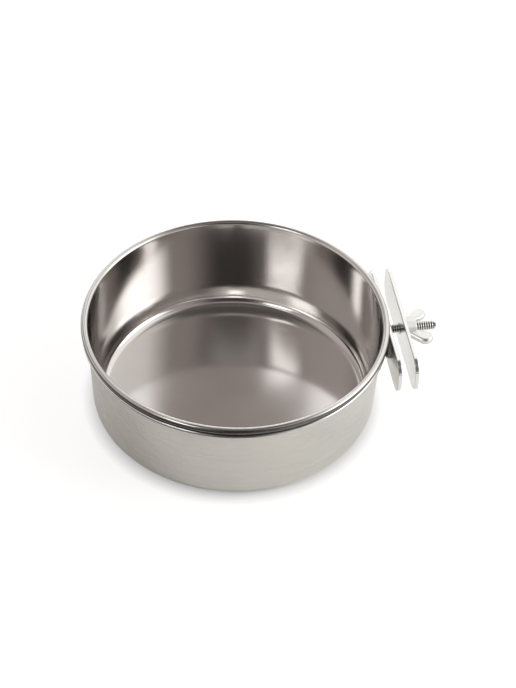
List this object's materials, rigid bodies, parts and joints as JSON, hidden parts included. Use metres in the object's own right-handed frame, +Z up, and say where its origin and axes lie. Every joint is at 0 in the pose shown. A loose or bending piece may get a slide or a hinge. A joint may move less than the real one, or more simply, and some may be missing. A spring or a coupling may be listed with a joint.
{
  "type": "seed cup",
  "caption": "Round stainless seed cup with a rolled rim, and a bolt-on clamp of flat jaws and a wing nut that grips a cage wall.",
  "frame": {"origin": "centre of the cup's flat underside", "axes": "+Z up, +X out along the clamp bolt, +Y along the jaws"},
  "size_m": [0.1639, 0.14, 0.0478],
  "materials": {
    "cup_steel": "mirror inside, satin outside",
    "bracket_steel": "satin",
    "jaw_plating": "bright plated",
    "bolt_steel": "bright plated",
    "nut_plating": "bright plated, soft cast edges"
  },
  "bodies": {
    "cup": {"cup_bowl": "cup_steel", "saddle_bracket": "bracket_steel", "fixed_jaw": "jaw_plating", "clamp_bolt": "bolt_steel"},
    "jaw": {"moving_jaw": "jaw_plating"},
    "nut": {"wing_nut": "nut_plating"}
  },
  "joints": [
    {"name": "jaw_slide", "type": "slide", "parent": "cup", "child": "jaw", "axis": [1, 0, 0], "range_m": [-0.00595, 0.0097]},
    {"name": "nut_turn", "type": "hinge", "parent": "jaw", "child": "nut", "pos_m": [0.07857, 0, 0.03255], "axis": [1, 0, 0], "range_deg": [-2020, 3300]}
  ],
  "couplings": [
    {"joint": "jaw_slide", "follows": "nut_turn", "m_per_rad": 0.00016839}
  ]
}
